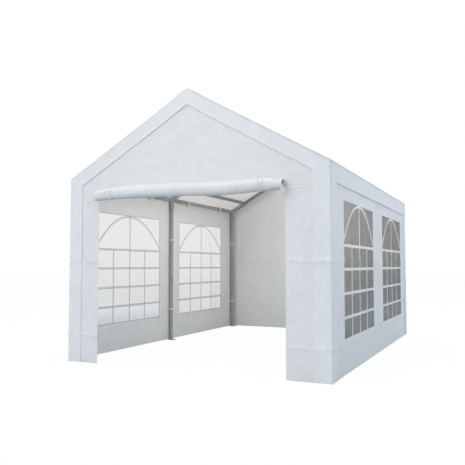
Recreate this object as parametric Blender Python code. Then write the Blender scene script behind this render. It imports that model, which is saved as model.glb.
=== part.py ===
"""Marquee tent: a steel tube frame with a ridge roof cover, hung walls and a rolled-up door.

Metres, +Z up, the doorway faces -Y. The origin lies on the ground under the middle of the whole tent.
"""
import math

import bmesh
import bpy
from mathutils import Matrix, Vector

# The cover's outside
WIDTH = 2.96
LENGTH = 4.20
EAVE_HEIGHT = 2.00
RIDGE_HEIGHT = 2.84
CLOTH = 0.004
GAP = 0.0003
VALANCE_DROP = 0.19
FLAP_DROP = 0.175

# Walls, doorway and windows
WALL_FOOT = 0.02
FRONT_FOOT = 0.005
DOOR_LEFT = -1.085
DOOR_RIGHT = 1.045
DOOR_HEAD = 1.77
WINDOW_NEAR = 0.2745
WINDOW_FAR = 1.640
WINDOW_LOW = 0.3445
WINDOW_HIGH = 1.6765

# The door sheet, rolled up
ROLL_RADIUS = 0.0665
ROLL_HEIGHT = 1.8045
ROLL_LEFT = -1.115
ROLL_RIGHT = 1.035
ROLL_SIDES = 32

# Frame tubes and their sleeve fittings
TUBE_RADIUS = 0.025
SLEEVE_RADIUS = 0.029
SLEEVE_START = -0.005
POST_SLEEVE = 0.12
RAFTER_SLEEVE = 0.24
RAIL_SLEEVE = 0.40
BALL_RADIUS = 0.0285
BALL_SIDES = 12
BORE_START = 0.034
TUBE_START = BORE_START + GAP
TUBE_SIDES = 24
FRAME_END_Y = 2.03
PURLIN_X = 1.20
PLATE_SIZE = 0.09
PLATE_THICKNESS = 0.005
PLATE_FROM_WALL = 0.003

# Heights and layers worked out from the sizes above
HALF_WIDTH = WIDTH / 2
HALF_LENGTH = LENGTH / 2
SLOPE = (RIDGE_HEIGHT - EAVE_HEIGHT) / HALF_WIDTH
SLOPE_COS = 1 / math.hypot(1, SLOPE)
CLOTH_DROP = CLOTH / SLOPE_COS
GAP_DROP = GAP / SLOPE_COS
WALL_OUT_X = HALF_WIDTH - CLOTH - GAP
WALL_IN_X = WALL_OUT_X - CLOTH
WALL_OUT_Y = HALF_LENGTH - CLOTH - GAP
WALL_IN_Y = WALL_OUT_Y - CLOTH
POST_X = WALL_IN_X - GAP - SLEEVE_RADIUS
FRAME_DROP = (CLOTH + GAP + SLEEVE_RADIUS) / SLOPE_COS
ROLL_Y = -(WALL_OUT_Y + GAP + ROLL_RADIUS)
TENT_Y = -(ROLL_Y - ROLL_RADIUS + HALF_LENGTH) / 2

SIDES = {"left": -1, "right": 1}
FRAMES = {"front": -FRAME_END_Y, "middle": 0.0, "back": FRAME_END_Y}
BAYS = {"front": ("front", "middle"), "back": ("middle", "back")}


def roof_height(x):
    """Height of the cover's outer face at a distance x from the ridge."""
    return RIDGE_HEIGHT - SLOPE * abs(x)


def frame_height(x):
    """Height of the frame tubes' axes under the slope at x."""
    return roof_height(x) - FRAME_DROP


def new_collection(name):
    collection = bpy.data.collections.new(name)
    bpy.context.scene.collection.children.link(collection)
    return collection


def new_material(name, color, roughness, metallic=0.0, alpha=1.0):
    material = bpy.data.materials.new(name)
    material.use_nodes = True
    shader = material.node_tree.nodes["Principled BSDF"]
    shader.inputs["Base Color"].default_value = (*color, 1.0)
    shader.inputs["Roughness"].default_value = roughness
    shader.inputs["Metallic"].default_value = metallic
    shader.inputs["Alpha"].default_value = alpha
    return material


def place(name, data, material, collection, matrix):
    """Put a mesh or curve in the tent as a named object."""
    data.name = name
    data.materials.append(material)
    thing = bpy.data.objects.new(name, data)
    collection.objects.link(thing)
    thing.parent = tent
    thing.matrix_basis = matrix
    return thing


def sheet(name, outline, material, matrix, thickness=CLOTH, holes=()):
    """A flat sheet of cloth: a filled 2D outline, drawn about the middle of its thickness."""
    curve = bpy.data.curves.new(name, "CURVE")
    curve.dimensions = "2D"
    curve.fill_mode = "BOTH"
    curve.extrude = thickness / 2
    for loop in (outline, *holes):
        spline = curve.splines.new("POLY")
        spline.points.add(len(loop) - 1)
        for point, (across, up) in zip(spline.points, loop):
            point.co = (across, up, 0.0, 1.0)
        spline.use_cyclic_u = True
    return place(name, curve, material, parts, matrix)


def rectangle(low, high):
    (left, bottom), (right, top) = low, high
    return [(left, bottom), (right, bottom), (right, top), (left, top)]


def facing_front(y):
    """A sheet's place in a plane across the tent: its outline reads x, z."""
    return Matrix.Translation((0, y, 0)) @ Matrix.Rotation(math.pi / 2, 4, "X")


def facing_side(x):
    """A sheet's place in a plane along the tent: its outline reads y, z."""
    turn = Matrix.Rotation(math.pi / 2, 4, "Z") @ Matrix.Rotation(math.pi / 2, 4, "X")
    return Matrix.Translation((x, 0, 0)) @ turn


def along(start, end):
    """A matrix at the middle of start and end, its Z along them and its corners at plain angles."""
    axis = (end - start).normalized()
    if abs(axis.y) > 0.9:
        across = Vector((1, 0, 0))
    else:
        across = Vector((0, 1, 0)).cross(axis)
    turn = Matrix((across, axis.cross(across), axis)).transposed().to_4x4()
    return Matrix.Translation((start + end) / 2) @ turn


def round_bar(name, start, end, radius, material, collection, sides=TUBE_SIDES):
    """A straight round bar from start to end."""
    mesh = bpy.data.meshes.new(name)
    shape = bmesh.new()
    bmesh.ops.create_cone(shape, cap_ends=True, segments=sides, radius1=radius, radius2=radius,
                          depth=(end - start).length)
    shape.to_mesh(mesh)
    shape.free()
    mesh.shade_smooth()
    mesh.set_sharp_from_angle(angle=math.radians(40))
    return place(name, mesh, material, collection, along(start, end))


def combine(target, tool, operation):
    """Join a tool to the target, or cut it from the target, with a Boolean modifier."""
    tool.hide_render = True
    tool.display_type = "WIRE"
    modifier = target.modifiers.new(tool.name, "BOOLEAN")
    modifier.operation = operation
    modifier.object = tool


def fitting(name, joint, arms):
    """A welded fitting: a ball with a socket sleeve for each tube that meets there.

    Each arm is the direction in which its tube leaves and the sleeve's length from the joint.
    """
    mesh = bpy.data.meshes.new(name)
    shape = bmesh.new()
    bmesh.ops.create_uvsphere(shape, u_segments=BALL_SIDES, v_segments=BALL_SIDES // 2,
                              radius=BALL_RADIUS)
    shape.to_mesh(mesh)
    shape.free()
    mesh.shade_smooth()
    mesh.set_sharp_from_angle(angle=math.radians(40))
    ball = place(name, mesh, steel, parts, Matrix.Translation(joint))
    for number, (direction, reach) in enumerate(arms):
        sleeve = round_bar(f"{name}_sleeve_{number}", joint + direction * SLEEVE_START,
                           joint + direction * reach, SLEEVE_RADIUS, steel, cutters)
        combine(ball, sleeve, "UNION")
    for number, (direction, reach) in enumerate(arms):
        bore = round_bar(f"{name}_bore_{number}", joint + direction * BORE_START,
                         joint + direction * (reach + SLEEVE_RADIUS), TUBE_RADIUS + GAP, steel, cutters)
        combine(ball, bore, "DIFFERENCE")


def eave_joint(side, frame):
    return Vector((SIDES[side] * POST_X, FRAMES[frame], frame_height(POST_X)))


def ridge_joint(frame):
    return Vector((0, FRAMES[frame], frame_height(0)))


def tube_between(name, start, end):
    """A frame tube with each end seated in its fitting."""
    axis = (end - start).normalized()
    round_bar(name, start + axis * TUBE_START, end - axis * TUBE_START, TUBE_RADIUS, steel, parts)


def rail_arms(frame):
    """A fitting's arms along the tent, one for each bay beside this frame."""
    arms = []
    if frame != "front":
        arms.append((Vector((0, -1, 0)), RAIL_SLEEVE))
    if frame != "back":
        arms.append((Vector((0, 1, 0)), RAIL_SLEEVE))
    return arms


def make_posts():
    """Posts, each with a square foot plate that is welded on and set inwards, clear of the wall."""
    for side, sign in SIDES.items():
        for frame in FRAMES:
            top = eave_joint(side, frame)
            foot = Vector((top.x, top.y, PLATE_THICKNESS / 2))
            post = round_bar(f"post_{side}_{frame}", foot, top - Vector((0, 0, TUBE_START)),
                             TUBE_RADIUS, steel, parts)
            mesh = bpy.data.meshes.new("foot_plate")
            shape = bmesh.new()
            bmesh.ops.create_cube(shape, size=1.0)
            bmesh.ops.scale(shape, verts=shape.verts, vec=(PLATE_SIZE, PLATE_SIZE, PLATE_THICKNESS))
            shape.to_mesh(mesh)
            shape.free()
            plate_x = sign * (WALL_IN_X - PLATE_FROM_WALL - PLATE_SIZE / 2)
            plate = place(f"foot_plate_{side}_{frame}", mesh, steel, cutters,
                          Matrix.Translation((plate_x, top.y, PLATE_THICKNESS / 2)))
            combine(post, plate, "UNION")


def make_rails():
    """Eave rails, ridge tubes and purlins, one length in each bay."""
    for bay, (near, far) in BAYS.items():
        tube_between(f"ridge_tube_{bay}", ridge_joint(near), ridge_joint(far))
        for side, sign in SIDES.items():
            tube_between(f"eave_rail_{side}_{bay}", eave_joint(side, near), eave_joint(side, far))
            seat = Vector((0, TUBE_RADIUS + GAP, 0))
            start = Vector((sign * PURLIN_X, FRAMES[near], frame_height(PURLIN_X)))
            end = Vector((sign * PURLIN_X, FRAMES[far], frame_height(PURLIN_X)))
            round_bar(f"purlin_{side}_{bay}", start + seat, end - seat, TUBE_RADIUS, steel, parts)


def make_rafters():
    for side in SIDES:
        for frame in FRAMES:
            tube_between(f"rafter_{side}_{frame}", eave_joint(side, frame), ridge_joint(frame))


def make_fittings():
    for frame in FRAMES:
        ridge = ridge_joint(frame)
        arms = [((eave_joint(side, frame) - ridge).normalized(), RAFTER_SLEEVE) for side in SIDES]
        fitting(f"ridge_fitting_{frame}", ridge, arms + rail_arms(frame))
        for side in SIDES:
            eave = eave_joint(side, frame)
            arms = [(Vector((0, 0, -1)), POST_SLEEVE), ((ridge - eave).normalized(), RAFTER_SLEEVE)]
            fitting(f"eave_fitting_{side}_{frame}", eave, arms + rail_arms(frame))


def make_roof():
    """The cover: two slopes with a valance under each eave and a flap along each verge."""
    for side, sign in SIDES.items():
        ridge_x = sign * GAP / 2
        eave_x = sign * HALF_WIDTH
        slope = [
            (eave_x, roof_height(eave_x)),
            (ridge_x, roof_height(ridge_x)),
            (ridge_x, roof_height(ridge_x) - CLOTH_DROP),
            (eave_x, roof_height(eave_x) - CLOTH_DROP),
        ]
        sheet(f"roof_cover_{side}", slope, cover_cloth, facing_front(0), thickness=LENGTH)
        valance = rectangle((-HALF_LENGTH, EAVE_HEIGHT - VALANCE_DROP),
                            (HALF_LENGTH, EAVE_HEIGHT - CLOTH_DROP - GAP))
        sheet(f"valance_{side}", valance, cover_cloth, facing_side(sign * (HALF_WIDTH - CLOTH / 2)))
    top = CLOTH_DROP + GAP_DROP
    flap = [
        (-WALL_OUT_X, roof_height(WALL_OUT_X) - FLAP_DROP),
        (0, RIDGE_HEIGHT - FLAP_DROP),
        (WALL_OUT_X, roof_height(WALL_OUT_X) - FLAP_DROP),
        (WALL_OUT_X, roof_height(WALL_OUT_X) - top),
        (0, RIDGE_HEIGHT - top),
        (-WALL_OUT_X, roof_height(WALL_OUT_X) - top),
    ]
    flap_y = HALF_LENGTH - CLOTH / 2
    sheet("gable_flap_front", flap, cover_cloth, facing_front(-flap_y))
    sheet("gable_flap_back", flap, cover_cloth, facing_front(flap_y))


def gable_outline(foot):
    """An end wall up to the cover, from a level foot."""
    top = CLOTH_DROP + GAP_DROP
    eave = roof_height(WALL_OUT_X) - top
    return [(-WALL_OUT_X, foot), (WALL_OUT_X, foot), (WALL_OUT_X, eave), (0, RIDGE_HEIGHT - top),
            (-WALL_OUT_X, eave)]


def make_end_walls():
    """The plain back wall, and the front wall split beside and over its doorway."""
    wall_y = (WALL_OUT_Y + WALL_IN_Y) / 2
    sheet("back_wall", gable_outline(WALL_FOOT), wall_cloth, facing_front(wall_y))
    front = facing_front(-wall_y)
    sheet("front_gable", gable_outline(DOOR_HEAD), wall_cloth, front)
    head = DOOR_HEAD - GAP
    left = rectangle((-WALL_OUT_X, FRONT_FOOT), (DOOR_LEFT, head))
    right = rectangle((DOOR_RIGHT, FRONT_FOOT), (WALL_OUT_X, head))
    sheet("front_wall_left", left, wall_cloth, front)
    sheet("front_wall_right", right, wall_cloth, front)


def make_side_walls():
    """Side walls with two window holes each, and the clear film that closes each hole."""
    wall_end = WALL_IN_Y - GAP
    wall_top = roof_height(WALL_OUT_X) - CLOTH_DROP - GAP
    bays = {"front": (-WINDOW_FAR, -WINDOW_NEAR), "back": (WINDOW_NEAR, WINDOW_FAR)}
    holes = [rectangle((near, WINDOW_LOW), (far, WINDOW_HIGH)) for near, far in bays.values()]
    for side, sign in SIDES.items():
        place_x = facing_side(sign * (WALL_OUT_X + WALL_IN_X) / 2)
        outline = rectangle((-wall_end, WALL_FOOT), (wall_end, wall_top))
        sheet(f"{side}_wall", outline, wall_cloth, place_x, holes=holes)
        for bay, (near, far) in bays.items():
            pane = rectangle((near + GAP, WINDOW_LOW + GAP), (far - GAP, WINDOW_HIGH - GAP))
            sheet(f"window_{side}_{bay}", pane, window_film, place_x)


def make_rolled_door():
    """The doorway's sheet, rolled up and hung against the foot of the gable."""
    start = Vector((ROLL_LEFT, ROLL_Y, ROLL_HEIGHT))
    end = Vector((ROLL_RIGHT, ROLL_Y, ROLL_HEIGHT))
    round_bar("rolled_door", start, end, ROLL_RADIUS, wall_cloth, parts, sides=ROLL_SIDES)


for old in list(bpy.data.objects):
    bpy.data.objects.remove(old)

parts = new_collection("marquee_tent")
cutters = new_collection("cutters")

tent = bpy.data.objects.new("tent", None)
tent.location = (0, TENT_Y, 0)
parts.objects.link(tent)

cover_cloth = new_material("cover_cloth", (0.79, 0.81, 0.84), 0.6)
wall_cloth = new_material("wall_cloth", (0.74, 0.77, 0.81), 0.6)
window_film = new_material("window_film", (0.85, 0.87, 0.90), 0.15, alpha=0.35)
steel = new_material("steel", (0.28, 0.28, 0.28), 0.45, metallic=0.8)

make_posts()
make_rails()
make_rafters()
make_fittings()
make_roof()
make_end_walls()
make_side_walls()
make_rolled_door()
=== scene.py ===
"""The look of the marquee tent: hung cloth, clear windows, rolled door, steel frame and studio."""
import math

import bpy
import numpy as np
from bpy.props import FloatProperty, FloatVectorProperty, PointerProperty
from mathutils import Matrix, Vector


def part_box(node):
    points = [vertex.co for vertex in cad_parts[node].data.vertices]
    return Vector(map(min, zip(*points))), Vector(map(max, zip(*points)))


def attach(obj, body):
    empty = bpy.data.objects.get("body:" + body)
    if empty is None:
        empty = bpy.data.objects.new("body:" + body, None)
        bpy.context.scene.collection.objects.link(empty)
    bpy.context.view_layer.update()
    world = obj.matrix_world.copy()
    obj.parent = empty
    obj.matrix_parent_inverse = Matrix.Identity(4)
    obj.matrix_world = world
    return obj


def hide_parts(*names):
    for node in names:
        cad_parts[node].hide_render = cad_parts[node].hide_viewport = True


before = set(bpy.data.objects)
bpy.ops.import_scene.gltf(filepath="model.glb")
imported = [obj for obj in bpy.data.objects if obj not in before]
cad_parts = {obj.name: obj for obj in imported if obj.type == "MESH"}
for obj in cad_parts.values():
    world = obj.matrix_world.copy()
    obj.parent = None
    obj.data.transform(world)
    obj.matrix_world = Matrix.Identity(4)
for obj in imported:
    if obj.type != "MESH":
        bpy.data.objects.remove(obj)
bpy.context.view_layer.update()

bl_info = {
    "name": "Marquee Tent",
    "version": (1, 0, 0),
    "blender": (4, 5, 0),
    "location": "3D View > Sidebar > Tent",
    "description": "Builds the cloth, windows, door, frame details and studio of a marquee tent",
    "category": "Object",
}

SIDES = {"left": -1, "right": 1}
X, Y, Z = range(3)


def middle_of(node, axis):
    """The middle of a CAD node's box along an axis."""
    return sum(corner[axis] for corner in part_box(node)) / 2


# The cover's outside, from the CAD solids
COVER_LOW, COVER_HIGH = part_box("roof_cover_right")
HALF_WIDTH = COVER_HIGH.x
FRONT_Y = COVER_LOW.y
BACK_Y = COVER_HIGH.y
MIDDLE_Y = (FRONT_Y + BACK_Y) / 2
RIDGE_Z = COVER_HIGH.z
EAVE_Z = 2.0
SLOPE = (RIDGE_Z - EAVE_Z) / HALF_WIDTH
SLOPE_COS = 1 / math.hypot(1, SLOPE)
SLOPE_LENGTH = HALF_WIDTH / SLOPE_COS
VALANCE_DROP = EAVE_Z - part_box("valance_right")[0].z
FLAP_DROP = RIDGE_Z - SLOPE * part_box("gable_flap_front")[1].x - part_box("gable_flap_front")[0].z

# Walls, doorway and windows
WALL_X = middle_of("right_wall", X)
SIDE_WALL_LOW, SIDE_WALL_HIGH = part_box("right_wall")
FRONT_WALL_Y = middle_of("front_gable", Y)
BACK_WALL_Y = middle_of("back_wall", Y)
FRONT_GAP = FRONT_WALL_Y - FRONT_Y
SIDE_GAP = HALF_WIDTH - WALL_X
FRONT_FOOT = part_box("front_wall_left")[0].z
FOOT_Z = 0.006
DOOR_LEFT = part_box("front_wall_left")[1].x
DOOR_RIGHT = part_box("front_wall_right")[0].x
DOOR_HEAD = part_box("front_gable")[0].z
WALL_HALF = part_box("front_wall_right")[1].x
WINDOWS = {bay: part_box(f"window_right_{bay}") for bay in ("front", "back")}

# Frame joints
FRAME_Y = {name: middle_of(f"post_left_{name}", Y) for name in ("front", "middle", "back")}
POST_X = middle_of("eave_rail_right_front", X)
TUBE_RADIUS = (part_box("eave_rail_right_front")[1].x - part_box("eave_rail_right_front")[0].x) / 2
EAVE_JOINT_Z = middle_of("eave_rail_right_front", Z)
RIDGE_JOINT_Z = middle_of("ridge_tube_front", Z)
PURLIN_X = middle_of("purlin_right_front", X)

# Fold lines left in the cloth by its packing, the seam over the doorway and the windows' hems
FOLD_HEIGHTS = (0.30, 1.09)
FOLD_WIDTH = 0.020
SHARP_FOLD = 0.009
SEAM_HEIGHT = DOOR_HEAD
SEAM_WIDTH = 0.030
FRONT_FOLDS_X = (1.233, 1.292)
BACK_FOLDS_X = (-1.30, -0.80, 0.80, 1.30)
WINDOW_HEM = 0.02
UNDER_EAVE_Z = 1.66
END_WALL_GAP = 0.010

# Seeds of the folds' and creases' random waves
FRONT_SEED = 60
SIDE_SEED = 100
BACK_SEED = 130

# Window bars, as heights of their middles and their widths
BAR_HEIGHTS = (0.543, 0.776, 1.011, 1.2415)
BAR_WIDTH = 0.027
UPRIGHT_WIDTH = 0.024
ARCH_FOOT = 0.030
ARCH_RISE = 0.4235
ARCH_POWER = 2.1
PATTERN_SHIFT = -0.014
BAR_THICKNESS = 0.0008
BAR_INSIDE = 0.0013
LAYER_DEPTH = 0.001
TUCK = 0.014
OVERLAP = 0.008

# Steps between edge lines
COVER_STEP = 0.027
WALL_STEP = 0.021
FRONT_STEP_ACROSS = 0.0145
FRONT_STEP_UP = 0.0135
FRONT_GABLE_STEP = 0.022
BACK_GABLE_STEP = 0.028
BAR_STEP = 0.045
FILM_STEP = 0.024


def linear(hex_colour):
    """A hex sRGB colour as linear red, green and blue."""
    values = [int(hex_colour[start:start + 2], 16) / 255 for start in (1, 3, 5)]
    return tuple(v / 12.92 if v <= 0.04045 else ((v + 0.055) / 1.055) ** 2.4 for v in values)


# Settings

def length(name, text, default, low, high):
    """A size that the panel can change."""
    return FloatProperty(name=name, description=text, default=default, min=low, max=high, unit="LENGTH")


def tint(name, text, hex_colour):
    """A colour that the panel can change."""
    return FloatVectorProperty(name=name, description=text, default=linear(hex_colour), subtype="COLOR",
                               size=3, min=0.0, max=1.0)


def power(name, text, default):
    """A light's power that the panel can change."""
    return FloatProperty(name=name, description=text, default=default, min=0.0, max=5000.0, unit="POWER")


class TentClothSettings(bpy.types.PropertyGroup):
    """Sizes of the cloth and how it hangs."""

    thickness: length("Cloth thickness", "Drawn thicker than the real 0.3 mm", 0.0012, 0.0002, 0.004)
    film_thickness: length("Film thickness", "Thickness of the clear window film", 0.0005, 0.0002, 0.002)
    roof_sag: length("Roof sag", "How far the cover sags between ridge and purlin", 0.014, 0.0, 0.03)
    flap_off: length("Flap stand-off", "How far the flaps' edges stand off the walls", 0.0045, 0.002, 0.02)
    valance_off: length("Valance stand-off", "How far the valances' edges stand off", 0.0095, 0.002, 0.02)
    leg_off: length("Leg stand-off", "How far the corner legs stand off the walls", 0.0032, 0.002, 0.02)
    leg_width: length("Corner leg width", "Width of the front corner legs from the front", 0.17, 0.05, 0.3)
    leg_side: length("Corner leg depth", "Width of the front corner legs from the side", 0.215, 0.05, 0.3)
    back_leg: length("Back leg width", "Width of the back corner legs on the back wall", 0.085, 0.05, 0.3)
    back_leg_side: length("Back leg depth", "Width of the back corner legs on the sides", 0.145, 0.05, 0.3)
    hem_width: length("Hem width", "Width of the welded hems", 0.030, 0.01, 0.06)
    hem_rise: length("Hem rise", "How far a hem's double cloth stands out", 0.0012, 0.0, 0.004)
    sway: length("Wall sway", "How far the walls belly between the posts", 0.005, 0.0, 0.01)
    fold_height: length("Fold height", "Height of the packing folds", 0.0085, 0.0, 0.015)


class TentColours(bpy.types.PropertyGroup):
    """Colours of the cloth, film and metal."""

    cover: tint("Cover", "Coated cover cloth", "#F7F7F7")
    wall: tint("Walls", "Coated wall cloth", "#F2F2F3")
    door: tint("Door", "Coated cloth of the rolled-up door", "#F3F2F2")
    film: tint("Film", "Smoky veil of the clear window film", "#524E47")
    bars: tint("Bars", "Welded window bars", "#F4F3EF")
    # Drawn greyer than the strings, so that the straps show as painted shade beside the string ends.
    webbing: tint("Webbing", "Straps and knots of the roll's ties", "#E4E6EA")
    string: tint("String", "Loose ends of the roll's ties", "#F6F8FC")
    elastic: tint("Elastic", "Elastic loops on the posts and rails", "#F4F4F1")
    # The same galvanised steel as the posts and rails, drawn darker as painted shade on the tubes under the
    # roof.
    roof_steel: tint("Roof steel", "Galvanised tubes under the roof", "#8D8E90")
    steel: tint("Steel", "Galvanised posts and rails", "#A3A4A6")
    fittings: tint("Fittings", "Galvanised fittings and clamps", "#9FA0A2")


class TentStudioSettings(bpy.types.PropertyGroup):
    """Camera and light."""

    camera_place: FloatVectorProperty(name="Camera place", description="Where the camera stands",
                                      subtype="XYZ", default=(2.881, -7.0763, 1.0493), unit="LENGTH")
    camera_pitch: FloatProperty(name="Camera pitch", description="Upward tilt of the camera",
                                default=0.0563, unit="ROTATION")
    camera_yaw: FloatProperty(name="Camera yaw", description="Turn of the camera to the left",
                              default=0.4398, unit="ROTATION")
    lens: FloatProperty(name="Lens", description="Focal length in millimetres", default=44.98,
                        min=10.0, max=200.0)
    sky: FloatProperty(name="Sky light", description="Strength of the light from all round", default=1.02,
                       min=0.0, max=4.0)
    front: power("Front light", "The wide light level with the doorway", 300.0)
    key: power("Key light", "The large soft light, high at the front left", 620.0)
    fill: power("Fill light", "The soft light overhead", 260.0)
    side: power("Side light", "The soft light at the back right", 75.0)
    back: power("Back light", "The soft light on the back wall and its gable", 150.0)
    inside: power("Inside light", "Each of the two soft lights inside the tent", 22.5)


def cloth_settings():
    return bpy.context.scene.tent_cloth


# Sheets: flat cut, shape, thickness

def smooth(value):
    """Rise smoothly from 0 to 1 as the value does."""
    value = np.clip(value, 0.0, 1.0)
    return value * value * (3 - 2 * value)


def soft_noise(across, up, hill_across, hill_up, seed):
    """Smooth random heights from -1 to 1, with hills of the given size, the same on every run."""
    cells = 64
    heights = np.random.default_rng(seed).uniform(-1, 1, (cells, cells))
    across = np.asarray(across) / hill_across + 7.3
    up = np.asarray(up) / hill_up + 5.1
    column = np.floor(across).astype(int)
    row = np.floor(up).astype(int)
    right = smooth(across - column)
    top = smooth(up - row)

    def height(to_right, to_top):
        return heights[(column + to_right) % cells, (row + to_top) % cells]

    lower = height(0, 0) * (1 - right) + height(1, 0) * right
    upper = height(0, 1) * (1 - right) + height(1, 1) * right
    return lower * (1 - top) + upper * top


def line_noise(along, hill, seed):
    """Smooth random heights from -1 to 1 along a line."""
    return soft_noise(along, along * 0, hill, 1.0, seed)


def bump_at(distance, width):
    """A soft bump, 1 at its middle."""
    return np.exp(-(distance / width) ** 2)


def fold(distance, width=FOLD_WIDTH):
    """A sharp-crested fold line, 1 at its crest."""
    return np.exp(-np.abs(distance) / width)


def edge_lines(low, high, step, marks=()):
    """Places for edge lines from low to high, about a step apart, with one on each mark."""
    marks = sorted({low, high, *[mark for mark in marks if low < mark < high]})
    places = [low]
    for start, end in zip(marks, marks[1:]):
        count = max(1, round((end - start) / step))
        places += [start + (end - start) * number / count for number in range(1, count + 1)]
    return places


def face_values(piece, name, size):
    """One value, or a row of three, for each face of a piece."""
    values = np.empty(len(piece.data.polygons) * size)
    piece.data.polygons.foreach_get(name, values)
    return values.reshape(-1, size)


def points_of(piece):
    places = np.empty(len(piece.data.vertices) * 3)
    piece.data.vertices.foreach_get("co", places)
    return places.reshape(-1, 3)


def set_points(piece, places):
    piece.data.vertices.foreach_set("co", np.ascontiguousarray(places).ravel())
    piece.data.update()


def stacked(*axes):
    return np.stack([np.broadcast_to(axis, np.shape(axes[0])).astype(float) for axis in axes], axis=1)


def select_only(piece):
    bpy.ops.object.select_all(action="DESELECT")
    piece.select_set(True)
    bpy.context.view_layer.objects.active = piece


def apply_modifier(piece, kind, **settings):
    """Add a modifier with its settings and apply it."""
    select_only(piece)
    modifier = piece.modifiers.new(kind.title(), kind)
    for name, value in settings.items():
        setattr(modifier, name, value)
    bpy.ops.object.modifier_apply(modifier=modifier.name)


def thicken(piece, thickness):
    apply_modifier(piece, "SOLIDIFY", thickness=thickness, offset=0.0)


def bevel(piece, width, segments, degrees):
    apply_modifier(piece, "BEVEL", width=width, segments=segments, limit_method="ANGLE",
                   angle_limit=math.radians(degrees))


def merge_and(piece, distance, operator, **settings):
    """Merge the corners of a piece that lie within a distance, then run a mesh operator on all of it."""
    select_only(piece)
    bpy.ops.object.mode_set(mode="EDIT")
    bpy.ops.mesh.select_all(action="SELECT")
    bpy.ops.mesh.remove_doubles(threshold=distance)
    operator(**settings)
    bpy.ops.object.mode_set(mode="OBJECT")


def cut_sheet(name, across, up):
    """A sheet's flat cut, in metres: a grid with an edge line at each place across and up."""
    bpy.ops.object.select_all(action="DESELECT")
    bpy.ops.mesh.primitive_grid_add(x_subdivisions=len(across) - 1, y_subdivisions=len(up) - 1, size=1)
    piece = bpy.context.object
    piece.name = piece.data.name = name
    places = points_of(piece)
    column = np.rint((places[:, 0] + 0.5) * (len(across) - 1)).astype(int)
    row = np.rint((places[:, 1] + 0.5) * (len(up) - 1)).astype(int)
    set_points(piece, stacked(np.array(across)[column], np.array(up)[row], 0.0))
    return piece


def cut_away(piece, goes):
    """Cut out of a flat sheet the faces whose middle (u, v) the rule names."""
    select_only(piece)
    bpy.ops.object.mode_set(mode="EDIT")
    bpy.ops.mesh.select_mode(type="FACE")
    bpy.ops.mesh.select_all(action="DESELECT")
    bpy.ops.object.mode_set(mode="OBJECT")
    u, v, _ = face_values(piece, "center", 3).T
    piece.data.polygons.foreach_set("select", goes(u, v))
    bpy.ops.object.mode_set(mode="EDIT")
    bpy.ops.mesh.delete(type="FACE")
    bpy.ops.object.mode_set(mode="OBJECT")


def mark(piece, name, share):
    """Store a value at each point for the cloth's finish: "doubled" where two cloths hang, or the tone of its
    folds with painted highlight and painted shade.
    """
    layer = piece.data.attributes.new(name, "FLOAT", "POINT")
    layer.data.foreach_set("value", np.ascontiguousarray(share, dtype=np.float32))


def hang(piece, place):
    """Take the flat cut to where the sheet hangs, and return the cut's area.

    The UVs keep the flat cut, in metres, so that the weave follows the cloth.
    """
    mesh = piece.data
    area = float(face_values(piece, "area", 1).sum())
    flat = points_of(piece)
    layer = mesh.uv_layers.active or mesh.uv_layers.new(name="UVMap")
    corner = np.empty(len(mesh.loops), dtype=np.int32)
    mesh.loops.foreach_get("vertex_index", corner)
    layer.data.foreach_set("uv", flat[corner, :2].astype(np.float32).ravel())
    set_points(piece, place(flat[:, 0], flat[:, 1]))
    return area


def outward(piece, direction):
    """Turn a sheet's faces so that most of them point along a direction."""
    if (face_values(piece, "normal", 3) @ np.array(direction, float)).sum() < 0:
        piece.data.flip_normals()


def finish(piece, material_name, degrees=35.0):
    """Smooth a finished piece, and give it its finish and body."""
    select_only(piece)
    bpy.ops.object.shade_smooth_by_angle(angle=math.radians(degrees))
    piece.data.materials.clear()
    piece.data.materials.append(finish_named(material_name))
    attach(piece, "root")


def join(pieces, name):
    """Join pieces into the first of them."""
    bpy.ops.object.select_all(action="DESELECT")
    for piece in pieces:
        piece.select_set(True)
    bpy.context.view_layer.objects.active = pieces[0]
    if len(pieces) > 1:
        bpy.ops.object.join()
    whole = bpy.context.object
    whole.name = whole.data.name = name
    return whole


# Materials

def add_node(tree, kind, inputs=None, output=0, **settings):
    """Add a node and return one of its outputs.

    Settings name its own values. Inputs give a socket a value, or the output that feeds it.
    """
    node = tree.nodes.new("ShaderNode" + kind)
    for name, value in settings.items():
        setattr(node, name, value)
    for name, value in (inputs or {}).items():
        if isinstance(value, bpy.types.NodeSocket):
            tree.links.new(value, node.inputs[name])
        else:
            node.inputs[name].default_value = value
    return node.outputs[output] if node.outputs else None


def toned(colour, factor=1.0):
    """A colour made darker or lighter, as the four numbers that a socket takes."""
    return (*[min(1.0, value * factor) for value in colour], 1.0)


def band_scale(period):
    """The Wave texture's scale for bands that repeat after a length in metres."""
    return math.tau / (20 * period)


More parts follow.
